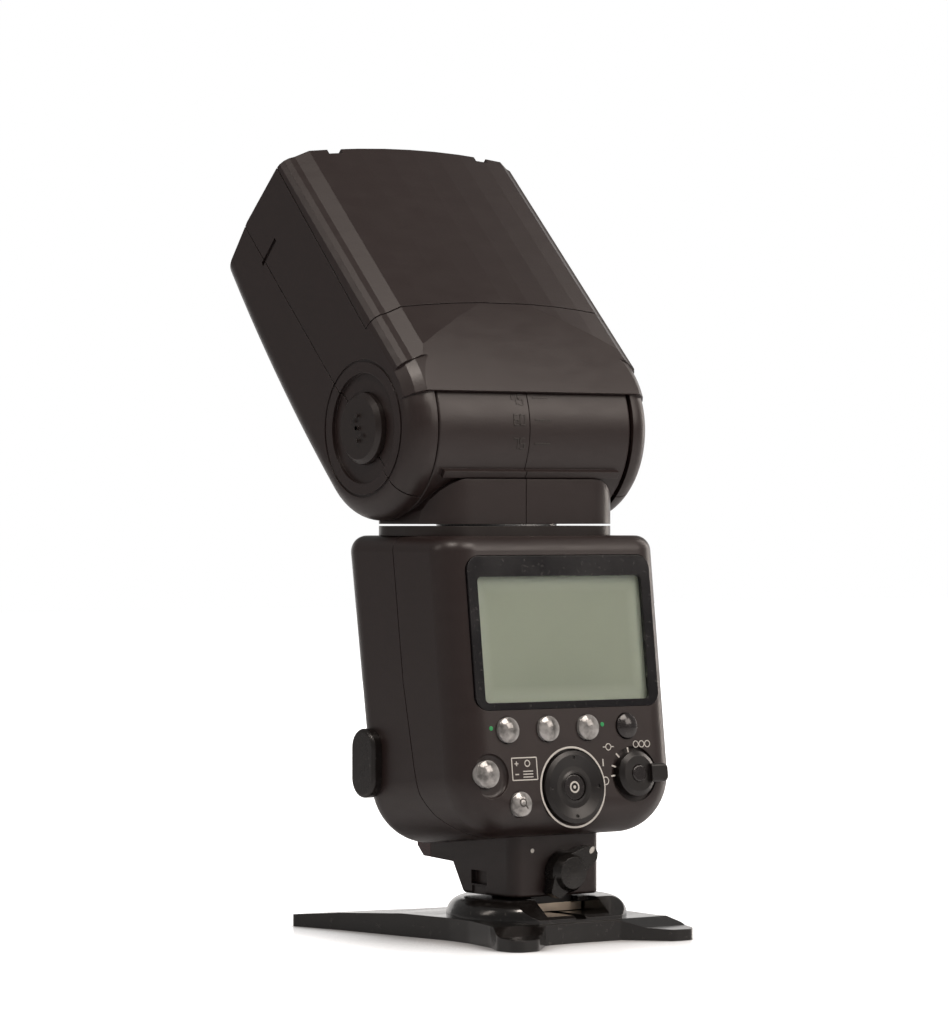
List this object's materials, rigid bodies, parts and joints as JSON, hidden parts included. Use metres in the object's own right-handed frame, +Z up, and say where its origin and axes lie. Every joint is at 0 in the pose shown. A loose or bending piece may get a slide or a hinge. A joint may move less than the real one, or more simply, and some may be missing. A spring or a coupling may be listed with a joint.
{
  "type": "speedlight flash",
  "caption": "Hot-shoe flash with a bounce head that pans and tilts, a rear display with keys and dial, standing in a winged mini stand with a tripod thread.",
  "frame": {"origin": "on the floor under the middle of the hot-shoe foot, at the mouth of the stand's tripod thread", "axes": "+Z up, +Y the way the flash body faces (away from the rear panel), +X to the right of a person looking at the rear panel"},
  "size_m": [0.0766, 0.1167, 0.2],
  "materials": {
    "body_plastic": "fine satin grain",
    "dark_plastic": "fine satin grain",
    "gloss_black": "gloss",
    "stand_plastic": "semi-gloss",
    "window_glass": "clear gloss",
    "lcd": "smooth",
    "white_plastic": "matte",
    "key_silver": "translucent gloss",
    "key_black": "gloss",
    "rubber": "matte",
    "circuit_board": "satin",
    "cell_wrap": "satin",
    "spring_steel": "satin",
    "shoe_metal": "satin",
    "brass": "satin",
    "gold_contact": "polished",
    "chrome_bowl": "mirror",
    "lens_clear": "ribbed",
    "tube_glass": "clear",
    "clear_panel": "frosted",
    "red_window": "deep red gloss",
    "sensor_dark": "gloss",
    "steel": "satin",
    "motor_can": "satin"
  },
  "bodies": {
    "stand": {"stand_base": "stand_plastic", "tripod_insert": "brass"},
    "flash_body": {"front_shell": "body_plastic", "rear_shell": "body_plastic", "display_bezel": "gloss_black", "display_window": "window_glass", "lcd_module": "lcd", "keypad_sheet": "rubber", "control_board": "circuit_board", "main_board": "circuit_board", "aa_cells": "cell_wrap", "battery_tray": "dark_plastic", "battery_springs": "spring_steel", "main_capacitor": "cell_wrap", "sensor_window": "sensor_dark", "body_screws": "steel", "foot_block": "body_plastic", "assist_lamp_window": "red_window", "hot_shoe_foot": "shoe_metal", "foot_contacts": "gold_contact", "turntable_ring": "body_plastic"},
    "yoke": {"yoke_left": "body_plastic", "yoke_right": "body_plastic", "pan_tube": "steel", "pan_retainer": "spring_steel", "tilt_axle": "steel", "tilt_detent": "spring_steel"},
    "head": {"head_top_cover": "body_plastic", "head_upper_shell": "body_plastic", "head_lower_shell": "body_plastic", "head_screws": "steel", "release_spring": "spring_steel", "hub_cap": "body_plastic", "lens_frame": "dark_plastic", "fresnel_lens": "lens_clear", "zoom_motor": "motor_can", "lamp_chassis": "steel", "card_tray": "dark_plastic"},
    "lamp_carriage": {"zoom_carriage": "dark_plastic", "reflector": "chrome_bowl", "flash_tube": "tube_glass"},
    "zoom_screw": {"zoom_screw": "steel"},
    "tilt_release_button": {"tilt_release_button": "body_plastic"},
    "catchlight_card": {"catchlight_card": "white_plastic"},
    "wide_panel": {"wide_panel": "clear_panel"},
    "battery_door": {"battery_door": "body_plastic", "door_contacts": "spring_steel"},
    "battery_latch": {"battery_latch": "dark_plastic"},
    "selector_dial": {"selector_dial": "dark_plastic"},
    "power_lever": {"power_lever": "dark_plastic"},
    "power_lock_button": {"power_lock_button": "key_black"},
    "lock_lever": {"lock_lever": "body_plastic"},
    "lock_pin": {"lock_pin": "steel"},
    "function_button_1": {"function_button_1": "key_silver"},
    "function_button_2": {"function_button_2": "key_silver"},
    "function_button_3": {"function_button_3": "key_silver"},
    "function_button_4": {"function_button_4": "key_black"},
    "mode_button": {"mode_button": "key_silver"},
    "zoom_button": {"zoom_button": "key_silver"},
    "ok_button": {"ok_button": "key_black"}
  },
  "joints": [
    {"name": "shoe_slide", "type": "slide", "parent": "stand", "child": "flash_body", "axis": [0, -1, 0], "range_m": [0, 0.022]},
    {"name": "pan", "type": "hinge", "parent": "flash_body", "child": "yoke", "pos_m": [0, 0.015, 0.1], "axis": [0, 0, 1], "range_deg": [-180, 180]},
    {"name": "tilt", "type": "hinge", "parent": "yoke", "child": "head", "pos_m": [0, 0.0205, 0.1266], "axis": [1, 0, 0], "range_deg": [-52, 45]},
    {"name": "zoom_screw_turn", "type": "hinge", "parent": "head", "child": "zoom_screw", "pos_m": [0.022, 0.05783, 0.14583], "axis": [0, 0.7071, 0.7071], "range_deg": [0, 1297]},
    {"name": "zoom_travel", "type": "slide", "parent": "head", "child": "lamp_carriage", "axis": [0, -0.7071, -0.7071], "range_m": [0, 0.018]},
    {"name": "tilt_release", "type": "slide", "parent": "head", "child": "tilt_release_button", "axis": [1, 0, 0], "range_m": [0, 0.0014], "stiffness_N_per_m": 600, "springref_m": -0.0005},
    {"name": "card_slide", "type": "slide", "parent": "head", "child": "catchlight_card", "axis": [0, 0.7071, 0.7071], "range_m": [0, 0.038]},
    {"name": "panel_slide", "type": "slide", "parent": "head", "child": "wide_panel", "axis": [0, 0.7071, 0.7071], "range_m": [0, 0.04]},
    {"name": "battery_door_hinge", "type": "hinge", "parent": "flash_body", "child": "battery_door", "pos_m": [0.0331, -0.00715, 0.0495], "axis": [0, 0, -1], "range_deg": [0, 100]},
    {"name": "battery_latch_slide", "type": "slide", "parent": "battery_door", "child": "battery_latch", "axis": [0, -1, 0], "range_m": [0, 0.0025]},
    {"name": "dial_turn", "type": "hinge", "parent": "flash_body", "child": "selector_dial", "pos_m": [-0.0008, -0.0183, 0.0381], "axis": [0, -0.9925, 0.1219], "continuous": true},
    {"name": "power_turn", "type": "hinge", "parent": "flash_body", "child": "power_lever", "pos_m": [0.0185, -0.01798, 0.0407], "axis": [0, 0.9925, -0.1219], "range_deg": [0, 72]},
    {"name": "power_lock_press", "type": "slide", "parent": "power_lever", "child": "power_lock_button", "axis": [0, 0.9925, -0.1219], "range_m": [0, 0.0006], "stiffness_N_per_m": 400, "springref_m": -0.0005},
    {"name": "lock_lever_turn", "type": "hinge", "parent": "flash_body", "child": "lock_lever", "pos_m": [0.0014, -0.0108, 0.0167], "axis": [0, 1, 0], "range_deg": [0, 90.5]},
    {"name": "lock_pin_drop", "type": "slide", "parent": "flash_body", "child": "lock_pin", "axis": [0, 0, -1], "range_m": [0, 0.0012]},
    {"name": "function_press_1", "type": "slide", "parent": "flash_body", "child": "function_button_1", "axis": [0, 0.9925, -0.1219], "range_m": [0, 0.0006], "stiffness_N_per_m": 400, "springref_m": -0.0005},
    {"name": "function_press_2", "type": "slide", "parent": "flash_body", "child": "function_button_2", "axis": [0, 0.9925, -0.1219], "range_m": [0, 0.0006], "stiffness_N_per_m": 400, "springref_m": -0.0005},
    {"name": "function_press_3", "type": "slide", "parent": "flash_body", "child": "function_button_3", "axis": [0, 0.9925, -0.1219], "range_m": [0, 0.0006], "stiffness_N_per_m": 400, "springref_m": -0.0005},
    {"name": "function_press_4", "type": "slide", "parent": "flash_body", "child": "function_button_4", "axis": [0, 0.9925, -0.1219], "range_m": [0, 0.0006], "stiffness_N_per_m": 400, "springref_m": -0.0005},
    {"name": "mode_press", "type": "slide", "parent": "flash_body", "child": "mode_button", "axis": [0, 0.9925, -0.1219], "range_m": [0, 0.0006], "stiffness_N_per_m": 400, "springref_m": -0.0005},
    {"name": "zoom_press", "type": "slide", "parent": "flash_body", "child": "zoom_button", "axis": [0, 0.9925, -0.1219], "range_m": [0, 0.0006], "stiffness_N_per_m": 400, "springref_m": -0.0005},
    {"name": "ok_press", "type": "slide", "parent": "flash_body", "child": "ok_button", "axis": [0, 0.9925, -0.1219], "range_m": [0, 0.0006], "stiffness_N_per_m": 400, "springref_m": -0.0005}
  ],
  "couplings": [
    {"joint": "zoom_screw_turn", "follows": "zoom_travel", "rad_per_m": 1256.6},
    {"joint": "lock_lever_turn", "follows": "lock_pin_drop", "rad_per_m": 1309}
  ]
}
